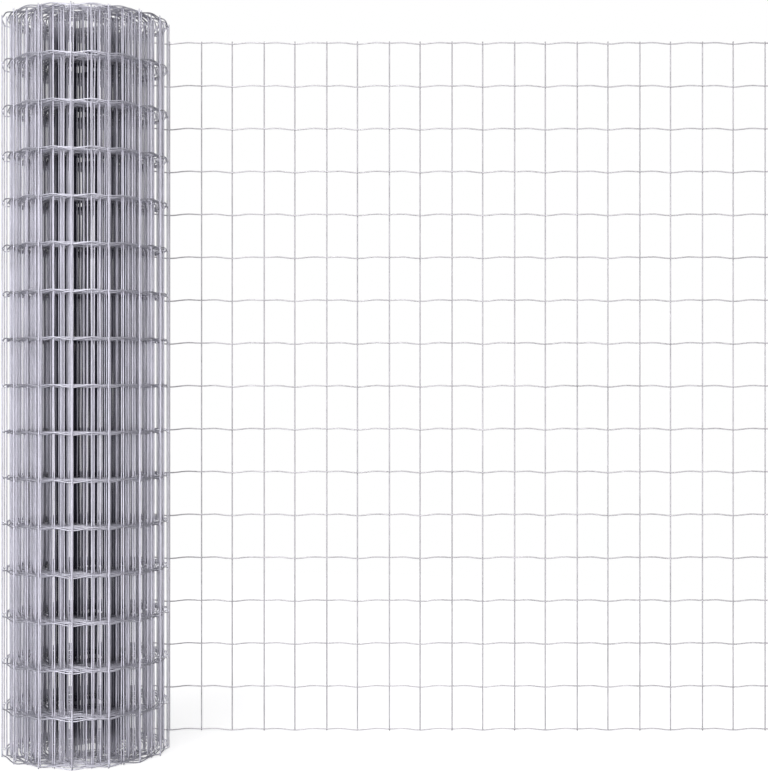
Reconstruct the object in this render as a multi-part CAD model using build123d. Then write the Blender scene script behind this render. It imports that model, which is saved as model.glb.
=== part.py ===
from build123d import *
import os

# A roll of galvanised welded wire fencing that stands on its end, with its free end unrolled flat.
# The frame: the roll's axis is Z, the floor is z = 0, and the free end runs off along +X
# in a plane that is tangent to the back of the roll.
# All sizes are in millimetres.

# Mesh
row_pitch = 76.2            # height of one opening of the mesh
row_count = 17              # line wires, the long wires that go round the roll
stay_stub = 3.5             # how far a stay runs past the outermost line wires' level
line_wire_d = 2.1           # thickness of a line wire
stay_wire_d = 2.1           # thickness of a stay, the upright wires
stay_pitch = 55.7           # spacing of the stays
stay_shift = 1.2            # every second stay stands this much nearer to the roll

# Crimp, the shallow wave that keeps the line wires springy
crimp_dip = 1.8             # how far a line wire dips at every second stay
crimp_rise = 0.9            # how far it rises on both sides of the other stays
crimp_crest = 0.4           # where the rise has its crest, in stay spacings from that stay

# Roll
outer_radius = 140.0        # over the stays of the outermost turn
bore_radius = 27.0          # the free hole inside the innermost turn
turn_count = 26             # layers that show across the wall of the roll
turns_per_ridge = 2         # turns that share one flat ridge on the roll's ends
turn_groove = 1.8           # width at the rim of the groove between two ridges
turn_groove_depth = 2.5     # how deep that groove is at the roll's ends

# Unrolled length
first_stay_x = 66.1         # the first stay that stands clear of the roll
run_stay_count = 22         # stays on the unrolled length
line_stub = 2.5             # how far a line wire runs past the last stay

# Sizes that follow from those above
height = (row_count - 1) * row_pitch + 2 * stay_stub
stay_back = outer_radius
stay_front = stay_back - stay_wire_d
line_back = stay_front
line_front = line_back - line_wire_d


def stay_x(index):
    """Place of a stay along the run, counted from the first that is clear of the roll."""
    shift = stay_shift if index % 2 else 0
    return first_stay_x + index * stay_pitch - shift


def crimp_points():
    """Corners (x, rise) of a line wire's centre, from under the roll's outermost turn to its cut end."""
    points = []
    for index in range(-1, run_stay_count):
        x = stay_x(index)
        if index % 2:
            points.append((x, -crimp_dip))
        else:
            points.append((x - crimp_crest * stay_pitch, crimp_rise))
            points.append((x, 0))
            points.append((x + crimp_crest * stay_pitch, crimp_rise))
    end_x = stay_x(run_stay_count - 1) + line_stub
    inside = [point for point in points if point[0] < end_x]
    return inside + [(end_x, inside[-1][1])]


def line_wires():
    """The crimped line wires of the run, one above the other."""
    points = crimp_points()
    half = line_wire_d / 2
    upper = [(x, rise + half) for x, rise in points]
    lower = [(x, rise - half) for x, rise in reversed(points)]
    ribbon = make_face(Polyline(*upper, *lower, close=True))
    wire = extrude(Plane.XZ * ribbon, -line_wire_d)
    return [
        Pos(0, line_front, stay_stub + row * row_pitch) * wire
        for row in range(row_count)
    ]


def stays():
    """The straight upright wires of the run, welded to the far side of the line wires."""
    upright = Box(stay_wire_d, stay_wire_d, height, align=(Align.CENTER, Align.MAX, Align.MIN))
    return [Pos(stay_x(index), stay_back, 0) * upright for index in range(run_stay_count)]


def unrolled_mesh():
    """The flat run of mesh, fused at its welds and ended on the outermost turn of the roll."""
    outermost_turn = Cylinder(outer_radius, height, align=(Align.CENTER, Align.CENTER, Align.MIN))
    mesh = Part() + line_wires() + stays()
    return mesh - outermost_turn


def end_turns():
    """Corners (radius, depth) of one end of the roll, where the turns stand up as flat ridges."""
    turn_pitch = (outer_radius - bore_radius) / turn_count
    corners = [(bore_radius, 0)]
    for turn in range(turns_per_ridge, turn_count, turns_per_ridge):
        middle = bore_radius + turn * turn_pitch
        corners.append((middle - turn_groove / 2, 0))
        corners.append((middle, turn_groove_depth))
        corners.append((middle + turn_groove / 2, 0))
    return corners + [(outer_radius, 0)]


def wound_roll():
    """The wound turns as one turned solid, with its bore and with the turns showing on both ends."""
    bottom = [(radius, depth) for radius, depth in end_turns()]
    top = [(radius, height - depth) for radius, depth in reversed(end_turns())]
    section = make_face(Polyline(*bottom, *top, close=True))
    return revolve(Plane.XZ * section, Axis.Z)


os.makedirs("parts", exist_ok=True)
export_step(wound_roll(), "parts/wound_roll.step")
export_step(unrolled_mesh(), "parts/unrolled_mesh.step")
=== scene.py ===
"""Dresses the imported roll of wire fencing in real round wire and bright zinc, under plain soft light.

The roll is wound from one length of welded mesh. The same pattern of crimped line wires and
straight stays runs through the flat free end and the wound turns, so both are built from one
description of the mesh and one path that it follows. All lengths are in metres.
"""

import logging
import math
from dataclasses import dataclass, field
from enum import Enum

import bpy
import numpy as np
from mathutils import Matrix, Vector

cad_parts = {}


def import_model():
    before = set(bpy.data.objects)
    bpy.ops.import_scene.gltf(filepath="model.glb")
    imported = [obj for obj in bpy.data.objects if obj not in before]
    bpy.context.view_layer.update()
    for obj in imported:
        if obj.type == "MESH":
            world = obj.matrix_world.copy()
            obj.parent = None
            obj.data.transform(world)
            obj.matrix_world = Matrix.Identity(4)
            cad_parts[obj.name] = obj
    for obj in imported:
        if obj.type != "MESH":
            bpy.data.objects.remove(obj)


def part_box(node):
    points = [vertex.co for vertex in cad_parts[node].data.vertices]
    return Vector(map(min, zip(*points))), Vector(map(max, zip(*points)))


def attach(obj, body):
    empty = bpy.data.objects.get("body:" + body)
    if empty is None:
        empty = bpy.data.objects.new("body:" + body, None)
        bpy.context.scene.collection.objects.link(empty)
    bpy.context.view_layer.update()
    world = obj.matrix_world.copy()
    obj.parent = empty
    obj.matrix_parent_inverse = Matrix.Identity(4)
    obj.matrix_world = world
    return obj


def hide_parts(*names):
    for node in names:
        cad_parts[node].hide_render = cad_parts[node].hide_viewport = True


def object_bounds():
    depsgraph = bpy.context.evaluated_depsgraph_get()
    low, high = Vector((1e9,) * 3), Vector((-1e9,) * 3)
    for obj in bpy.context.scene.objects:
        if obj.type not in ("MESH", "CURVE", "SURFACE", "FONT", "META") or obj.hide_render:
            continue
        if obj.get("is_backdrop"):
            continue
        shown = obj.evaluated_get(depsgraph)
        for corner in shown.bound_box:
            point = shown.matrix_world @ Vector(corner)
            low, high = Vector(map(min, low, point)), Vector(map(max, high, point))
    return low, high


LOG = logging.getLogger("fencing")
TAU = 2.0 * math.pi
MM = 0.001

Colour = tuple[float, float, float]
Place = tuple[float, float, float]


class Slot(Enum):
    """The finishes that a length of mesh shows, in the order of its material slots."""

    LINE_WIRE = 0
    STAY = 1
    WELD = 2


def level(directions: np.ndarray) -> np.ndarray:
    """Directions seen from above, as level directions in space."""
    return np.column_stack((directions, np.zeros(len(directions))))


@dataclass(frozen=True)
class MeshPattern:
    """The welded mesh as it lies flat.

    The distance along the mesh is counted from the line where it leaves the roll. It is
    negative on the flat run and grows into the roll. The stays are numbered the other way: 0 is
    the first that stands clear of the roll, and those in the roll are below 0.

    The crimp's crests stand a share of a stay spacing from each level stay. Over the first few
    stays into the roll, winding multiplies its dips and its rises.
    """

    height: float
    row_count: int = 17
    row_pitch: float = 76.2 * MM
    line_radius: float = 1.05 * MM
    stay_radius: float = 1.05 * MM
    weld_depth: float = 0.2 * MM
    stay_pitch: float = 55.7 * MM
    stay_shift: float = 1.2 * MM
    first_stay: float = 66.1 * MM
    run_stay_count: int = 22
    stay_count: int = 274
    line_stub: float = 2.5 * MM
    crimp_dip: float = 1.8 * MM
    crimp_rise: float = 0.9 * MM
    crimp_crest: float = 0.4
    wound_dip: float = 1.2
    wound_rise: float = 2.6
    loosening_stays: float = 6.0

    @property
    def stay_offset(self) -> float:
        """Distance between the centres of a line wire and a stay at their weld."""
        return self.line_radius + self.stay_radius - self.weld_depth

    @property
    def innermost_stay(self) -> int:
        """Number of the stay at the mesh's inner end."""
        return self.run_stay_count - self.stay_count

    def row_height(self, row: int) -> float:
        """Height of a line wire's middle level, counted from the lowest."""
        lowest = (self.height - (self.row_count - 1) * self.row_pitch) / 2
        return lowest + row * self.row_pitch

    def row_heights(self) -> np.ndarray:
        """Heights of all the line wires' middle levels."""
        return np.array([self.row_height(row) for row in range(self.row_count)])

    def stay_place(self, number: int) -> float:
        """Distance along the mesh of a stay. Every second one stands a little nearer to the roll."""
        shift = self.stay_shift if number % 2 else 0.0
        return -(self.first_stay + number * self.stay_pitch - shift)

    def looseness(self, number: float) -> float:
        """How much winding has disturbed the mesh: 0 on the flat run and 1 a few stays into the roll."""
        return min(max((-number - 1.0) / self.loosening_stays, 0.0), 1.0)

    def crimp(self, number: float) -> float:
        """Rise of a line wire at a place counted in stays, with every second stay in a dip.

        Args:
            number: place along the mesh in stay spacings, whole at each stay.

        Returns:
            The rise above the wire's middle level. Winding deepens it.
        """
        to_level_stay = abs((number + 1.0) % 2.0 - 1.0)
        loose = self.looseness(number)
        rise = self.crimp_rise * (1.0 + (self.wound_rise - 1.0) * loose)
        dip = self.crimp_dip * (1.0 + (self.wound_dip - 1.0) * loose)
        knots = (0.0, self.crimp_crest, 1.0)
        rises = (0.0, rise, -dip)
        step = 0 if to_level_stay < self.crimp_crest else 1
        part = (to_level_stay - knots[step]) / (knots[step + 1] - knots[step])
        ease = (1.0 - math.cos(math.pi * part)) / 2.0
        return rises[step] + (rises[step + 1] - rises[step]) * ease


@dataclass
class WindingPath:
    """The line that the mesh follows, seen from above: straight, then wound inwards round the axis.

    Where the winding drops under the free end, and where the loose gap under the outermost turn
    opens and closes, is given in turns from where the mesh leaves the roll.
    """

    tangent_y: float
    turn_pitch: float = 4.06 * MM
    drop_from: float = 0.66
    loose_gap: float = 3.4 * MM
    gap_opens: tuple[float, float] = (0.85, 1.15)
    gap_closes: tuple[float, float] = (1.0, 25.0)
    turn_limit: float = 28.0
    steps_per_turn: int = 720
    direction_step: float = 1e-4
    _angles: np.ndarray = field(init=False)
    _lengths: np.ndarray = field(init=False)

    def __post_init__(self) -> None:
        """Tabulates the length of the winding against the angle turned."""
        steps = int(self.steps_per_turn * self.turn_limit)
        self._angles = np.linspace(0.0, TAU * self.turn_limit, steps + 1)
        chords = np.linalg.norm(np.diff(self._wound(self._angles), axis=0), axis=1)
        self._lengths = np.concatenate(([0.0], np.cumsum(chords)))

    @staticmethod
    def _ease(part: np.ndarray) -> np.ndarray:
        """A smooth step from 0 to 1."""
        held = np.clip(part, 0.0, 1.0)
        return held * held * (3.0 - 2.0 * held)

    def radius(self, angle: np.ndarray) -> np.ndarray:
        """Radius of the line wires' centres round the roll's axis.

        The outermost turn keeps its radius and lies loose, then drops under the free end. The
        turns below it sit a little to the right, which leaves the gap on the left.

        Args:
            angle: angles turned from where the mesh leaves the roll.

        Returns:
            The radius at each.
        """
        turn = angle / TAU
        opens, opened = self.gap_opens
        closes, closed = self.gap_closes
        drop = self.turn_pitch * self._ease((turn - self.drop_from) / (1.0 - self.drop_from))
        wound = self.turn_pitch * np.maximum(turn - 1.0, 0.0)
        opening = self._ease((turn - opens) / (opened - opens))
        left = np.clip((closed - turn) / (closed - closes), 0.0, 1.0)
        return self.tangent_y - drop - wound - self.loose_gap * opening * left * np.sin(angle)

    def _wound(self, angle: np.ndarray) -> np.ndarray:
        """Places on the wound part, as an array of x and y."""
        radius = self.radius(angle)
        return np.stack((-radius * np.sin(angle), radius * np.cos(angle)), axis=1)

    def places(self, along: np.ndarray) -> tuple[np.ndarray, np.ndarray]:
        """Where the line wires run and which way is outwards.

        Args:
            along: distances along the mesh.

        Returns:
            Two arrays of x and y: the places and the outward unit directions.
        """
        angle = np.interp(along, self._lengths, self._angles)
        place = self._wound(angle)
        tangent = self._wound(angle + self.direction_step) - self._wound(angle - self.direction_step)
        tangent /= np.linalg.norm(tangent, axis=1, keepdims=True)
        outward = np.stack((tangent[:, 1], -tangent[:, 0]), axis=1)
        flat = along < 0.0
        place[flat] = np.stack((-along[flat], np.full(flat.sum(), self.tangent_y)), axis=1)
        outward[flat] = (0.0, 1.0)
        return place, outward


@dataclass
class StayPlaces:
    """Where each stay stands along the mesh, with the mill's small errors in their spacing.

    Within that error, each wound stay takes the place that shuts out the most daylight as the
    photograph's camera sees it, because the roll there shows next to none between its stays. A
    stay on the near side does so for the whole roll, and for its near half alone, which is all
    that lies before the daylight at the roll's two ends.
    """

    pattern: MeshPattern
    path: WindingPath
    eye: tuple[float, float]
    spacing_error: float = 2.0 * MM
    choices: int = 21
    rounds: int = 4
    near_half_weight: float = 0.25
    sight_lines: int = 6000
    _places: dict[int, float] = field(init=False)

    def __post_init__(self) -> None:
        """Settles the wound stays one by one, a few times over."""
        numbers = range(-1, self.pattern.innermost_stay - 1, -1)
        even = np.array([self.pattern.stay_place(number) for number in numbers])
        is_near = self.path.places(even)[0][:, 1] < 0.0
        errors = np.linspace(-self.spacing_error, self.spacing_error, self.choices)
        errors = errors[np.argsort(np.abs(errors), kind="stable")]
        whole = np.zeros(self.sight_lines, int)
        near_half = np.zeros(self.sight_lines, int)
        for first, last, near in zip(*self._shadows(even), is_near):
            whole[first:last] += 1
            near_half[first:last] += near
        settled = even.copy()
        for stay in list(range(len(even))) * self.rounds:
            near = is_near[stay]
            (first,), (last,) = self._shadows(settled[stay: stay + 1])
            whole[first:last] -= 1
            near_half[first:last] -= near
            starts, ends = self._shadows(even[stay] + errors)
            shut = [
                np.count_nonzero(whole[start:end] == 0)
                + self.near_half_weight * near * np.count_nonzero(near_half[start:end] == 0)
                for start, end in zip(starts, ends)
            ]
            best = int(np.argmax(shut))
            settled[stay] = even[stay] + errors[best]
            whole[starts[best]:ends[best]] += 1
            near_half[starts[best]:ends[best]] += near
        self._places = dict(zip(numbers, settled.tolist()))

    def _shadows(self, along: np.ndarray) -> tuple[np.ndarray, np.ndarray]:
        """The first and the last sight line that stays at some places stop.

        Args:
            along: distances along the mesh.

        Returns:
            Two arrays of sight line numbers, counted from the left of the roll to its right.
        """
        place, outward = self.path.places(along)
        away = place + outward * self.pattern.stay_offset - np.array(self.eye)
        bearing = np.arctan2(away[:, 0], away[:, 1])
        half = self.pattern.stay_radius / np.linalg.norm(away, axis=1)
        reach = self.path.tangent_y + self.pattern.stay_offset + self.pattern.stay_radius
        middle = math.atan2(-self.eye[0], -self.eye[1])
        spread = math.asin(reach / math.hypot(*self.eye))
        edges = np.stack((bearing - half, bearing + half)) - middle
        lines = (edges + spread) / (2.0 * spread) * self.sight_lines
        return np.floor(lines[0]).clip(0).astype(int), np.ceil(lines[1]).clip(0).astype(int)

    def along(self, number: int) -> float:
        """Distance along the mesh of a stay. The flat run's are evenly spaced."""
        return self._places.get(number, self.pattern.stay_place(number))


@dataclass
class WireRings:
    """The rings of points round a length of wire, from its first end to its last.

    Each ring has a centre, a radius, the way along the wire and two directions across it.
    """

    centre: np.ndarray
    along: np.ndarray
    up: np.ndarray
    side: np.ndarray
    radii: np.ndarray

    @classmethod
    def square_to(cls, centre: np.ndarray, outward: np.ndarray, radius: float) -> "WireRings":
        """Rings that stand square to the wire's centre line.

        Args:
            centre: places along that line, as an array of x, y and z.
            outward: a direction across the wire at each place.
            radius: the wire's radius.

        Returns:
            A ring for each place.
        """
        along = np.gradient(centre, axis=0)
        along /= np.linalg.norm(along, axis=1, keepdims=True)
        up = np.cross(along, outward)
        up /= np.linalg.norm(up, axis=1, keepdims=True)
        return cls(centre, along, up, np.cross(up, along), np.full(len(centre), radius))

    def round_off(self, end: int, cut: float) -> None:
        """Adds a narrower ring at a cut end, and moves the full ring back from it.

        Args:
            end: 0 for the first end and -1 for the last.
            cut: how far the shears rounded it.
        """
        tip = self.centre[end].copy()
        inwards = self.along[end] * (1.0 if end == 0 else -1.0)
        full = self.centre.copy()
        full[end] = tip + inwards * cut
        at = 0 if end == 0 else len(full)
        self.centre = np.insert(full, at, tip, axis=0)
        self.along = np.insert(self.along, at, self.along[end], axis=0)
        self.up = np.insert(self.up, at, self.up[end], axis=0)
        self.side = np.insert(self.side, at, self.side[end], axis=0)
        self.radii = np.insert(self.radii, at, self.radii[end] - cut)

    def points(self, sides: int) -> np.ndarray:
        """The points of every ring, ring by ring.

        Args:
            sides: how many points a ring has.

        Returns:
            An array of x, y and z.
        """
        angles = np.arange(sides) * (TAU / sides)
        across = (
            self.side[:, None, :] * np.cos(angles)[None, :, None]
            + self.up[:, None, :] * np.sin(angles)[None, :, None]
        )
        return (self.centre[:, None, :] + across * self.radii[:, None, None]).reshape(-1, 3)

    def skin(self, sides: int) -> np.ndarray:
        """The quads that join each ring to the next.

        Args:
            sides: how many points a ring has.

        Returns:
            The corner numbers of each quad.
        """
        starts = np.arange(len(self.centre) - 1)[:, None] * sides
        corners = np.arange(sides)[None, :]
        first = (starts + corners).reshape(-1)
        second = (starts + (corners + 1) % sides).reshape(-1)
        return np.stack((first, second, second + sides, first + sides), axis=1)

    def caps(self, sides: int) -> tuple[np.ndarray, np.ndarray]:
        """Corner numbers of the faces that close the first end and the last."""
        corners = np.arange(sides)
        return corners[::-1][None, :], (corners + (len(self.centre) - 1) * sides)[None, :]


class WireWork:
    """Gathers lengths of round wire and weld beads into one closed mesh."""

    def __init__(self) -> None:
        """Starts with nothing gathered."""
        self._points: list[np.ndarray] = []
        self._faces: list[tuple[np.ndarray, Slot, bool]] = []
        self._count = 0

    def _add(self, points: np.ndarray, faces: list[tuple[np.ndarray, bool]], slot: Slot) -> None:
        """Adds points and the faces that join them.

        Args:
            points: an array of places.
            faces: arrays of point numbers, each with whether its faces are shaded smooth.
            slot: the finish of the faces.
        """
        for corners, smooth in faces:
            self._faces.append((corners + self._count, slot, smooth))
        self._points.append(points)
        self._count += len(points)

    def add_wire(self, rings: WireRings, sides: int, slot: Slot) -> None:
        """Adds a length of round wire.

        Args:
            rings: the rings of points round it.
            sides: how many flats its section has.
            slot: its finish.
        """
        start_cap, end_cap = rings.caps(sides)
        faces = [(rings.skin(sides), True), (start_cap, False), (end_cap, False)]
        self._add(rings.points(sides), faces, slot)

    def add_welds(self, centre: np.ndarray, outward: np.ndarray, size: tuple[float, float, float],
                  sides: int, rings: int) -> None:
        """Adds the beads of squeezed metal and zinc in the corners of the welds.

        Args:
            centre: the places of the welds.
            outward: the outward direction at each.
            size: half of a bead's depth, width and height.
            sides: how many flats a bead has round it.
            rings: how many rows of points it has between its poles.
        """
        ball = [(-1.0, 0.0, 0.0)]
        for ring in range(1, rings + 1):
            slope = math.pi * ring / (rings + 1)
            for turn in range(sides):
                angle = TAU * (turn + 0.5) / sides
                ball.append((
                    -math.cos(slope), math.sin(slope) * math.cos(angle), math.sin(slope) * math.sin(angle),
                ))
        ball.append((1.0, 0.0, 0.0))
        bead = np.array(ball) * np.array(size)
        upward = np.tile((0.0, 0.0, 1.0), (len(centre), 1))
        axes = np.stack((outward, np.cross(upward, outward), upward), axis=1)
        points = (centre[:, None, :] + np.einsum("pk,wkc->wpc", bead, axes)).reshape(-1, 3)
        starts = (np.arange(len(centre)) * len(bead))[:, None, None]
        faces = [
            ((corners[None] + starts).reshape(-1, corners.shape[1]), True)
            for corners in self._bead_faces(sides, rings)
        ]
        self._add(points, faces, Slot.WELD)

    @staticmethod
    def _bead_faces(sides: int, rings: int) -> tuple[np.ndarray, np.ndarray]:
        """How the points of one bead are joined.

        Args:
            sides: how many flats it has round it.
            rings: how many rows of points it has between its poles.

        Returns:
            Corner numbers of the triangles at its poles, and of the quads between them.
        """
        last = 1 + sides * rings
        triangles = []
        quads = []
        for turn in range(sides):
            after = (turn + 1) % sides
            triangles.append((0, 1 + after, 1 + turn))
            triangles.append((last, last - sides + turn, last - sides + after))
            for ring in range(rings - 1):
                here = 1 + ring * sides
                quads.append((here + turn, here + after, here + sides + after, here + sides + turn))
        return np.array(triangles), np.array(quads).reshape(-1, 4)

    def build(self, name: str, finishes: dict[Slot, bpy.types.Material]) -> bpy.types.Object:
        """Makes the gathered wire into an object.

        Args:
            name: the piece's name.
            finishes: the material for each slot.

        Returns:
            The new object, linked to the scene.
        """
        faces: list[list[int]] = []
        slots: list[int] = []
        smooth: list[bool] = []
        for corners, slot, is_smooth in self._faces:
            faces.extend(corners.tolist())
            slots.extend([slot.value] * len(corners))
            smooth.extend([is_smooth] * len(corners))
        mesh = bpy.data.meshes.new(name)
        mesh.from_pydata(np.concatenate(self._points).tolist(), [], faces)
        mesh.polygons.foreach_set("material_index", slots)
        mesh.polygons.foreach_set("use_smooth", smooth)
        for slot in Slot:
            mesh.materials.append(finishes[slot])
        mesh.update()
        made = bpy.data.objects.new(name, mesh)
        bpy.context.scene.collection.objects.link(made)
        return made


@dataclass(frozen=True)
class Fineness:
    """How finely a length of mesh is drawn."""

    steps_per_span: int
    line_sides: int
    stay_sides: int
    weld_sides: int
    weld_rings: int


@dataclass
class MeshLength:
    """A stretch of the fencing between two places along it, bent as the winding goes.

    The lean is how far a stay's ends stand off its middle in the roll. It swings slowly from stay
    to stay, and a share of it is each stay's own, as is its wander. The shears cut a stay short by
    up to the uneven cut. The two numbers of draws are added to a stay's number, and seed its own
    lean and its own cut.
    """

    name: str
    pattern: MeshPattern
    path: WindingPath
    stay_places: StayPlaces
    first_stay: int
    last_stay: int
    fineness: Fineness
    cut_first: bool = False
    cut_last: bool = False
    lean: float = 0.8 * MM
    lean_swing: float = 0.21
    own_lean: float = 0.4
    wander: float = 0.2 * MM
    cut_round: float = 0.35 * MM
    uneven_cut: float = 0.5 * MM
    weld_size: tuple[float, float, float] = (0.8 * MM, 1.45 * MM, 1.25 * MM)
    seed: int = 7
    lean_draws: int = 1000
    cut_draws: int = 5000

    def _stay_numbers(self) -> list[int]:
        """The stays on this stretch, from the roll's outside inwards."""
        return list(range(self.first_stay, self.last_stay - 1, -1))

    def _stay_rows(self, stays: list[int]) -> np.ndarray:
        """Where each stay crosses each line wire, as distances along the mesh.

        A stay in the roll leans and wanders a little, as one does once the mesh is wound.

        Args:
            stays: the stays' numbers.

        Returns:
            An array with a row for each stay and a column for each line wire.
        """
        levels = np.linspace(-1.0, 1.0, self.pattern.row_count)
        crossings = []
        for number in stays:
            own = np.random.default_rng([self.seed, self.lean_draws + number])
            slant = self.lean * (math.sin(number * self.lean_swing) + self.own_lean * own.standard_normal())
            bends = self.wander * own.standard_normal(self.pattern.row_count)
            loose = self.pattern.looseness(number)
            crossings.append(self.stay_places.along(number) + loose * (slant * levels + bends))
        return np.array(crossings)

    def _line_wire(self, row: int, stays: list[int], crossings: np.ndarray, work: WireWork) -> None:
        """Adds one line wire, crimped between its welds.

        Args:
            row: the wire's number from the floor.
            stays: the numbers of the stays that it joins.
            crossings: where those stays cross it.
            work: what the wire is added to.
        """
        parts = np.arange(self.fineness.steps_per_span) / self.fineness.steps_per_span
        along = []
        numbers = []
        for number, start, end in zip(stays, crossings, crossings[1:]):
            along.extend(start + (end - start) * parts)
            numbers.extend(number - parts)
        along.append(crossings[-1])
        numbers.append(float(stays[-1]))
        if self.cut_first:
            along.insert(0, crossings[0] - self.pattern.line_stub)
            numbers.insert(0, float(stays[0]))
        if self.cut_last:
            along.append(crossings[-1] + self.pattern.line_stub)
            numbers.append(float(stays[-1]))
        place, outward = self.path.places(np.array(along))
        rises = np.array([self.pattern.crimp(number) for number in numbers])
        centre = np.column_stack((place, self.pattern.row_height(row) + rises))
        rings = WireRings.square_to(centre, level(outward), self.pattern.line_radius)
        if self.cut_first:
            rings.round_off(0, self.cut_round)
        if self.cut_last:
            rings.round_off(-1, self.cut_round)
        work.add_wire(rings, self.fineness.line_sides, Slot.LINE_WIRE)

    def _stay(self, number: int, crossings: np.ndarray, work: WireWork) -> None:
        """Adds one stay, welded to the outside of every line wire.

        Args:
            number: the stay's number.
            crossings: where it crosses the line wires, from the floor up.
            work: what the stay is added to.
        """
        own = np.random.default_rng([self.seed, self.cut_draws + number])
        short = own.uniform(0.0, self.uneven_cut, 2)
        heights = np.concatenate((short[:1], self.pattern.row_heights(), self.pattern.height - short[1:]))
        along = np.concatenate((crossings[:1], crossings, crossings[-1:]))
        place, outward = self.path.places(along)
        centre = np.column_stack((place + outward * self.pattern.stay_offset, heights))
        rings = WireRings.square_to(centre, level(outward), self.pattern.stay_radius)
        rings.round_off(0, self.cut_round)
        rings.round_off(-1, self.cut_round)
        work.add_wire(rings, self.fineness.stay_sides, Slot.STAY)

    def _welds(self, stays: list[int], crossings: np.ndarray, work: WireWork) -> None:
        """Adds the weld at every crossing.

        Args:
            stays: the stays' numbers.
            crossings: where they cross the line wires.
            work: what the welds are added to.
        """
        centres = []
        directions = []
        for number, row_crossings in zip(stays, crossings):
            place, outward = self.path.places(row_crossings)
            seat = place + outward * (self.pattern.line_radius - self.pattern.weld_depth / 2)
            heights = self.pattern.row_heights() + self.pattern.crimp(number)
            centres.append(np.column_stack((seat, heights)))
            directions.append(level(outward))
        work.add_welds(
            np.concatenate(centres), np.concatenate(directions), self.weld_size,
            self.fineness.weld_sides, self.fineness.weld_rings,
        )

    def build(self, finishes: dict[Slot, bpy.types.Material]) -> bpy.types.Object:
        """Makes the stretch as one object. Its line wires run on to the next stretch's first stay.

        Args:
            finishes: the material for each slot.

        Returns:
            The new object.
        """
        work = WireWork()
        own_stays = self._stay_numbers()
        joined = own_stays if self.cut_last else [*own_stays, self.last_stay - 1]
        crossings = self._stay_rows(joined)
        for row in range(self.pattern.row_count):
            self._line_wire(row, joined, crossings[:, row], work)
        for number, row_crossings in zip(own_stays, crossings):
            self._stay(number, row_crossings, work)
        self._welds(own_stays, crossings[: len(own_stays)], work)
        return work.build(self.name, finishes)


class Value:
    """A shader socket that takes part in arithmetic."""

    def __init__(self, graph: "NodeGraph", socket: bpy.types.NodeSocket) -> None:
        """Wraps a socket of a graph."""
        self.graph = graph
        self.socket = socket

    def _math(self, operation: str, first: "Value | float", second: "Value | float") -> "Value":
        """Adds a Math node on two values."""
        made = self.graph.node("ShaderNodeMath", {"operation": operation}, {0: first, 1: second})
        return self.graph.out(made, "Value")

    def __add__(self, other: "Value | float") -> "Value":
        """This plus another."""
        return self._math("ADD", self, other)

    def __radd__(self, other: float) -> "Value":
        """A number plus this."""
        return self._math("ADD", other, self)

    def __sub__(self, other: "Value | float") -> "Value":
        """This less another."""
        return self._math("SUBTRACT", self, other)

    def __rsub__(self, other: float) -> "Value":
        """A number less this."""
        return self._math("SUBTRACT", other, self)

    def __mul__(self, other: "Value | float") -> "Value":
        """This times another."""
        return self._math("MULTIPLY", self, other)

    def __rmul__(self, other: float) -> "Value":
        """A number times this."""
        return self._math("MULTIPLY", other, self)


class NodeGraph:
    """A node tree with one way of making nodes."""

    def __init__(self, tree: bpy.types.NodeTree) -> None:
        """Empties a tree and wraps it."""
        self.tree = tree
        tree.nodes.clear()

    def node(self, kind: str, settings: dict[str, object] | None = None,
             sockets: dict[str | int, object] | None = None) -> bpy.types.Node:
        """Adds a node.

        Args:
            kind: the node's type.
            settings: its own settings, set first. "stops" sets a ramp's positions and colours.
            sockets: values or links of its inputs, by name or number.

        Returns:
            The new node.
        """
        made = self.tree.nodes.new(kind)
        for name, value in (settings or {}).items():
            if name == "stops":
                self._set_stops(made.color_ramp, value)
            else:
                setattr(made, name, value)
        for name, value in (sockets or {}).items():
            if isinstance(value, Value):
                self.tree.links.new(value.socket, made.inputs[name])
            else:
                made.inputs[name].default_value = value
        return made

    @staticmethod
    def _set_stops(ramp: bpy.types.ColorRamp, stops: list[tuple[float, tuple[float, ...]]]) -> None:
        """Gives a ramp its stops.

        Args:
            ramp: the ramp.
            stops: the position and the colour, with its alpha, of each.
        """
        while len(ramp.elements) < len(stops):
            ramp.elements.new(1.0)
        for element, (position, colour) in zip(ramp.elements, stops):
            element.position = position
            element.color = colour

    def out(self, node: bpy.types.Node, name: str) -> Value:
        """An output of a node, as a value."""
        return Value(self, node.outputs[name])


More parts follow.
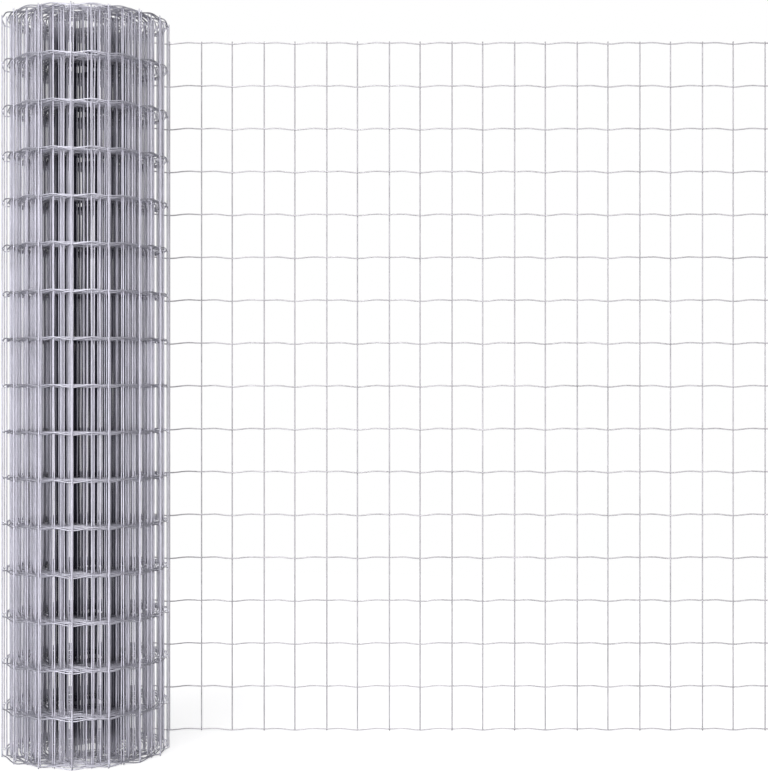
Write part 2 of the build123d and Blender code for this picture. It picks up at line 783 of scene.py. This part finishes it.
@dataclass(frozen=True)
class RollShade:
    """Painted shade: the zinc's colour is painted darker away from the daylight, towards the middle of the
    roll, where its inside lies in shade.

    It starts at the bright depth under the roll's outside and is complete at the dark depth. Near
    the roll's two ends it is weaker, down to the end depth.
    """

    outside: float
    height: float
    bright_depth: float = 29.0 * MM
    dark_depth: float = 95.0 * MM
    end_depth: float = 45.0 * MM
    # The near-black colour that the painted shade reaches deep inside the roll.
    colour: Colour = (0.016, 0.016, 0.026)

    def amount(self, graph: NodeGraph, place: Value) -> Value:
        """How much painted shade darkens the zinc's colour at a place.

        Args:
            graph: the finish's node tree.
            place: the place in the frame.

        Returns:
            0 on the outside, on the ends and on the flat run, and 1 deep inside the roll.
        """
        plan = graph.node("ShaderNodeVectorMath", {"operation": "MULTIPLY"}, {0: place, 1: (1.0, 1.0, 0.0)})
        radius = graph.node("ShaderNodeVectorMath", {"operation": "LENGTH"}, {0: graph.out(plan, "Vector")})
        depth = self.outside - graph.out(radius, "Value")
        rise = graph.out(graph.node("ShaderNodeSeparateXYZ", {}, {"Vector": place}), "Z")
        nearer_end = graph.node("ShaderNodeMath", {"operation": "MINIMUM"}, {0: rise, 1: self.height - rise})
        inwards = self._step(graph, depth, self.bright_depth, self.dark_depth)
        return inwards * self._step(graph, graph.out(nearer_end, "Value"), 0.0, self.end_depth)

    @staticmethod
    def _step(graph: NodeGraph, value: Value, low: float, high: float) -> Value:
        """A smooth step.

        Args:
            graph: the finish's node tree.
            value: what it follows.
            low: where it leaves 0.
            high: where it reaches 1.

        Returns:
            The step's height.
        """
        made = graph.node(
            "ShaderNodeMapRange", {"interpolation_type": "SMOOTHSTEP"},
            {"Value": value, "From Min": low, "From Max": high, "To Min": 0.0, "To Max": 1.0},
        )
        return graph.out(made, "Result")


@dataclass(frozen=True)
class Grain:
    """One kind of unevenness in the zinc: its scale, its detail, and how much it dulls the colour."""

    scale: float
    detail: float
    roughness: float
    dulling: float

    def amount(self, graph: NodeGraph, place: Value) -> Value:
        """How strong it is at a place, about 0 to 1."""
        sockets = {"Vector": place, "Scale": self.scale, "Detail": self.detail, "Roughness": self.roughness}
        return graph.out(graph.node("ShaderNodeTexNoise", {}, sockets), "Fac")


@dataclass(frozen=True)
class ZincFinish:
    """Hot-dipped zinc on drawn wire: fine streaks along the wire, soft spangle and dull patches, with
    painted shade that darkens its colour deep inside the roll.
    """

    name: str
    shade: RollShade
    tint: Colour = (1.0, 1.0, 1.0)
    bright: Colour = (0.67, 0.662, 0.73)
    dull: Colour = (0.42, 0.417, 0.46)
    bright_until: float = 0.30
    dull_from: float = 0.75
    dull_offset: float = 0.15
    stretch: tuple[float, float, float] = (900.0, 900.0, 60.0)
    streaks: Grain = Grain(scale=1.0, detail=3.0, roughness=0.6, dulling=0.35)
    patches: Grain = Grain(scale=14.0, detail=4.0, roughness=0.65, dulling=0.7)
    spangle: Grain = Grain(scale=260.0, detail=2.0, roughness=0.5, dulling=0.25)
    metallic: float = 0.85
    roughness: float = 0.30
    patch_roughness: float = 0.16
    streak_roughness: float = 0.08
    bump: float = 0.25
    bump_height: float = 0.3 * MM
    streak_relief: float = 0.6
    spangle_relief: float = 0.4

    def _tinted(self, colour: Colour) -> tuple[float, ...]:
        """A colour with this finish's tint and an alpha."""
        return (*(share * part for share, part in zip(self.tint, colour)), 1.0)

    def material(self) -> bpy.types.Material:
        """Makes the finish.

        Returns:
            The new material.
        """
        made = bpy.data.materials.new(self.name)
        made.use_nodes = True
        graph = NodeGraph(made.node_tree)
        place = graph.out(graph.node("ShaderNodeTexCoord"), "Object")
        mapping = graph.node("ShaderNodeMapping", {}, {"Vector": place, "Scale": self.stretch})
        streak = self.streaks.amount(graph, graph.out(mapping, "Vector"))
        patch = self.patches.amount(graph, place)
        spangle = self.spangle.amount(graph, place)
        dullness = (
            patch * self.patches.dulling + streak * self.streaks.dulling + spangle * self.spangle.dulling
            - self.dull_offset
        )
        stops = [(self.bright_until, self._tinted(self.bright)), (self.dull_from, self._tinted(self.dull))]
        zinc = graph.out(graph.node("ShaderNodeValToRGB", {"stops": stops}, {"Fac": dullness}), "Color")
        # Painted shade: the zinc's colour is mixed towards near-black deep inside the roll.
        shaded = graph.node(
            "ShaderNodeMix", {"data_type": "RGBA"},
            {"Factor": self.shade.amount(graph, place), "A": zinc, "B": (*self.shade.colour, 1.0)},
        )
        relief = streak * self.streak_relief + spangle * self.spangle_relief
        bump = graph.node(
            "ShaderNodeBump", {}, {"Strength": self.bump, "Distance": self.bump_height, "Height": relief},
        )
        shader = graph.node(
            "ShaderNodeBsdfPrincipled", {},
            {
                "Base Color": graph.out(shaded, "Result"),
                "Metallic": self.metallic,
                "Roughness": self.roughness + patch * self.patch_roughness + streak * self.streak_roughness,
                "Normal": graph.out(bump, "Normal"),
            },
        )
        graph.node("ShaderNodeOutputMaterial", {}, {"Surface": graph.out(shader, "BSDF")})
        return made


@dataclass
class Fencing:
    """The roll and its flat free end, made from one pattern of mesh.

    The wound turns are four pieces, which keeps each small enough, and the last stays of the outer
    three are given. The flat run's zinc has a tint of its own, and its stays and welds are also painted
    darker than the roll's, a painted shade for how the light falls on them. The roll's keeps its own
    colours.
    """

    eye: tuple[float, float]
    outer_last: int = -46
    second_last: int = -112
    third_last: int = -180
    run_line_tint: Colour = (1.03, 1.01, 0.95)
    # Tint of the flat run's stays and welds, with a painted shade that makes them darker than the roll's.
    run_stay_tint_and_painted_shade: Colour = (0.85, 0.83, 0.785)
    roll_tint: Colour = (1.0, 1.0, 1.0)
    pattern: MeshPattern = field(init=False)
    path: WindingPath = field(init=False)
    stay_places: StayPlaces = field(init=False)
    shade: RollShade = field(init=False)

    def __post_init__(self) -> None:
        """Takes the sizes from the frame."""
        run_low, run_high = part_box("unrolled_mesh")
        self.pattern = MeshPattern(height=run_high.z - run_low.z)
        self.path = WindingPath(run_high.y - self.pattern.stay_radius - self.pattern.stay_offset)
        self.stay_places = StayPlaces(self.pattern, self.path, self.eye)
        self.shade = RollShade(outside=run_high.y, height=self.pattern.height)

    def _finishes(self, part: str, line_tint: Colour, stay_tint: Colour) -> dict[Slot, bpy.types.Material]:
        """The three finishes of a part of the fencing.

        Args:
            part: what to call it in the finishes' names.
            line_tint: how much of each colour the line wires' zinc keeps.
            stay_tint: the same of the stays and the welds. On the flat run it also paints them darker, a
                painted shade.

        Returns:
            The material for each slot.
        """
        line_wires = ZincFinish(
            f"zinc_on_{part}_line_wires", self.shade, line_tint, stretch=(60.0, 60.0, 900.0),
        )
        stays = ZincFinish(f"zinc_on_{part}_stays", self.shade, stay_tint)
        welds = ZincFinish(
            f"zinc_on_{part}_welds", self.shade, stay_tint, bright=(0.60, 0.595, 0.65),
            dull=(0.42, 0.415, 0.455), stretch=(500.0, 500.0, 500.0), roughness=0.42,
        )
        return {
            Slot.LINE_WIRE: line_wires.material(),
            Slot.STAY: stays.material(),
            Slot.WELD: welds.material(),
        }

    def lengths(self) -> list[tuple[MeshLength, str]]:
        """The stretches of mesh and the CAD node that each stands for.

        Returns:
            Each stretch with a node's name, from the free end to the roll's inside.
        """
        fine = Fineness(steps_per_span=10, line_sides=8, stay_sides=8, weld_sides=8, weld_rings=3)
        plain = Fineness(steps_per_span=8, line_sides=6, stay_sides=6, weld_sides=6, weld_rings=3)
        mesh = (self.pattern, self.path, self.stay_places)
        run = MeshLength(
            "unrolled_wire_mesh", *mesh, self.pattern.run_stay_count - 1, 0, fine, cut_first=True,
        )
        innermost = self.pattern.innermost_stay
        outer = MeshLength("outer_turns", *mesh, -1, self.outer_last, fine)
        second = MeshLength("second_turns", *mesh, self.outer_last - 1, self.second_last, plain)
        third = MeshLength("third_turns", *mesh, self.second_last - 1, self.third_last, plain)
        inner = MeshLength("inner_turns", *mesh, self.third_last - 1, innermost, plain, cut_last=True)
        return [(run, "unrolled_mesh"), *((turns, "wound_roll") for turns in (outer, second, third, inner))]

    def build(self) -> list[bpy.types.Object]:
        """Makes every stretch, and seats it in the frame.

        Returns:
            The pieces, from the free end to the roll's inside.
        """
        pieces = []
        finishes = {
            # The flat run's stays and welds carry a painted shade, darker than the roll's.
            "unrolled_mesh": self._finishes("flat", self.run_line_tint, self.run_stay_tint_and_painted_shade),
            "wound_roll": self._finishes("wound", self.roll_tint, self.roll_tint),
        }
        for length, node in self.lengths():
            piece = length.build(finishes[node])
            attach(piece, "root")
            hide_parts(node)
            pieces.append(piece)
        return pieces


@dataclass(frozen=True)
class PhotoCamera:
    """The camera that took the picture. Its frame and focal length are in the picture's pixels."""

    frame_px: float = 772.0
    focal_px: float = 1492.7
    sideways: float = 0.502
    distance: float = 2.517
    sensor_mm: float = 36.0

    @property
    def eye(self) -> tuple[float, float]:
        """Where it stands, as x and y."""
        return self.sideways, -self.distance

    def place(self, height: float) -> None:
        """Sets the camera up, level and square to the flat run.

        Args:
            height: how high it stands.
        """
        data = bpy.data.cameras.new("photo_camera")
        data.sensor_fit = "VERTICAL"
        data.sensor_height = self.sensor_mm
        data.lens = self.focal_px * self.sensor_mm / self.frame_px
        camera = bpy.data.objects.new("photo_camera", data)
        camera.location = (*self.eye, height)
        camera.rotation_euler = (math.pi / 2, 0.0, 0.0)
        bpy.context.scene.collection.objects.link(camera)
        bpy.context.scene.camera = camera


@dataclass(frozen=True)
class SoftLamp:
    """A large soft lamp that points at the middle of the object."""

    name: str
    place: Place
    size: tuple[float, float]
    power: float
    colour: Colour

    def hang(self, target: Place) -> None:
        """Hangs the lamp.

        Args:
            target: where it points.
        """
        data = bpy.data.lights.new(self.name, "AREA")
        data.shape = "RECTANGLE"
        data.size, data.size_y = self.size
        data.energy = self.power
        data.color = self.colour
        lamp = bpy.data.objects.new(self.name, data)
        lamp.location = self.place
        lamp.visible_camera = False
        aim = np.array(target) - np.array(self.place)
        flat = math.hypot(aim[0], aim[1])
        lamp.rotation_euler = (math.atan2(flat, -aim[2]), 0.0, math.atan2(-aim[0], aim[1]))
        bpy.context.scene.collection.objects.link(lamp)


@dataclass(frozen=True)
class FloorPaint:
    """Pale grey paint with a glow, which together meet the backdrop's white.

    Each starts to change at its own distance from the middle of the floor, and both have settled
    at a share of its radius.
    """

    name: str
    floor_radius: float
    grey_near: float = 0.50
    grey_far: float = 0.0
    grey_from: float = 0.7
    glow_near: float = 0.69
    glow_far: float = 1.0
    glow_from: float = 0.2
    settled_share: float = 0.75
    roughness: float = 0.9

    def _fade(self, graph: NodeGraph, outwards: Value, start: float, near: float, far: float) -> Value:
        """A grey that changes from the middle of the floor to its rim.

        Args:
            graph: the paint's node tree.
            outwards: distance from the middle as a share of the floor's radius.
            start: distance from the middle at which it begins to change.
            near: the grey in the middle.
            far: the grey at the rim.

        Returns:
            The grey as a colour.
        """
        stops = [
            (start / self.floor_radius, (near, near, near, 1.0)),
            (self.settled_share, (far, far, far, 1.0)),
        ]
        return graph.out(graph.node("ShaderNodeValToRGB", {"stops": stops}, {"Fac": outwards}), "Color")

    def material(self) -> bpy.types.Material:
        """Makes the finish.

        Returns:
            The new material.
        """
        made = bpy.data.materials.new(self.name)
        made.use_nodes = True
        graph = NodeGraph(made.node_tree)
        place = graph.out(graph.node("ShaderNodeTexCoord"), "Object")
        length = graph.node("ShaderNodeVectorMath", {"operation": "LENGTH"}, {0: place})
        outwards = graph.out(length, "Value") * (1.0 / self.floor_radius)
        shader = graph.node(
            "ShaderNodeBsdfPrincipled", {},
            {
                "Base Color": self._fade(graph, outwards, self.grey_from, self.grey_near, self.grey_far),
                "Roughness": self.roughness,
                "Specular IOR Level": 0.0,
                "Emission Color": self._fade(graph, outwards, self.glow_from, self.glow_near, self.glow_far),
                "Emission Strength": 1.0,
            },
        )
        graph.node("ShaderNodeOutputMaterial", {}, {"Surface": graph.out(shader, "BSDF")})
        return made


@dataclass(frozen=True)
class Studio:
    """A plain pale floor and soft light from all round, before a white backdrop."""

    floor_radius: float = 3.2
    floor_sides: int = 96
    backdrop: Colour = (1.0, 1.0, 1.0)
    room: Colour = (0.96, 0.97, 1.0)
    room_light: float = 0.22
    lamps: tuple[SoftLamp, ...] = (
        SoftLamp("front_left_lamp", (-1.3, -3.0, 0.6), (2.2, 3.2), 70.0, (0.95, 0.945, 1.0)),
        SoftLamp("front_right_lamp", (1.3, -3.0, 0.6), (2.2, 3.2), 66.0, (0.98, 0.965, 1.0)),
        SoftLamp("left_lamp", (-3.2, -1.2, 0.6), (2.4, 3.2), 24.0, (0.96, 0.96, 1.0)),
        SoftLamp("right_lamp", (3.2, -1.2, 0.6), (2.4, 3.2), 10.0, (0.98, 0.97, 1.0)),
        SoftLamp("high_lamp", (-0.4, -2.0, 3.2), (2.4, 1.6), 55.0, (1.0, 1.0, 1.0)),
        SoftLamp("back_lamp", (0.0, 4.6, 0.9), (2.2, 3.2), 115.0, (1.0, 1.0, 1.0)),
    )

    def _floor(self) -> None:
        """Lays the floor. It catches shadows, and neither lights the object nor shows in it."""
        mesh = bpy.data.meshes.new("studio_floor")
        angles = [TAU * side / self.floor_sides for side in range(self.floor_sides)]
        rim = [
            (self.floor_radius * math.cos(angle), self.floor_radius * math.sin(angle), 0.0)
            for angle in angles
        ]
        mesh.from_pydata(rim, [], [list(range(self.floor_sides))])
        mesh.materials.append(FloorPaint("floor_paint", self.floor_radius).material())
        floor = bpy.data.objects.new("studio_floor", mesh)
        bpy.context.scene.collection.objects.link(floor)
        floor.visible_diffuse = False
        floor.visible_glossy = False
        floor.visible_shadow = False
        floor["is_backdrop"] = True

    def _sky(self) -> None:
        """Lights the room evenly and dimly, in front of a backdrop that shows white."""
        world = bpy.data.worlds.new("studio_light")
        world.use_nodes = True
        graph = NodeGraph(world.node_tree)
        seen = graph.out(graph.node("ShaderNodeLightPath"), "Is Camera Ray")
        light = graph.node(
            "ShaderNodeBackground", {}, {"Color": (*self.room, 1.0), "Strength": self.room_light},
        )
        white = graph.node("ShaderNodeBackground", {}, {"Color": (*self.backdrop, 1.0), "Strength": 1.0})
        both = graph.node(
            "ShaderNodeMixShader", {},
            {0: seen, 1: graph.out(light, "Background"), 2: graph.out(white, "Background")},
        )
        graph.node("ShaderNodeOutputWorld", {}, {"Surface": graph.out(both, "Shader")})
        bpy.context.scene.world = world

    def set_up(self, height: float) -> None:
        """Makes the floor, the light and the lamps.

        Args:
            height: the object's height.
        """
        self._floor()
        self._sky()
        for lamp in self.lamps:
            lamp.hang((0.0, 0.0, height / 2))
        bpy.context.scene.view_settings.view_transform = "Standard"


def report(piece: bpy.types.Object) -> None:
    """Logs how much mesh a piece has."""
    mesh = piece.data
    triangles = len(mesh.loops) - 2 * len(mesh.polygons)
    LOG.info("%s: %d points, %d triangles", piece.name, len(mesh.vertices), triangles)


def main() -> None:
    """Builds the camera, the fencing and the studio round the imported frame, and reports each piece."""
    logging.basicConfig(level=logging.INFO, format="%(message)s")
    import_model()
    cad_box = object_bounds()
    height = cad_box[1][2]
    camera = PhotoCamera()
    camera.place(height / 2)
    for piece in Fencing(camera.eye).build():
        report(piece)
    Studio().set_up(height)


if __name__ == "__main__":
    main()
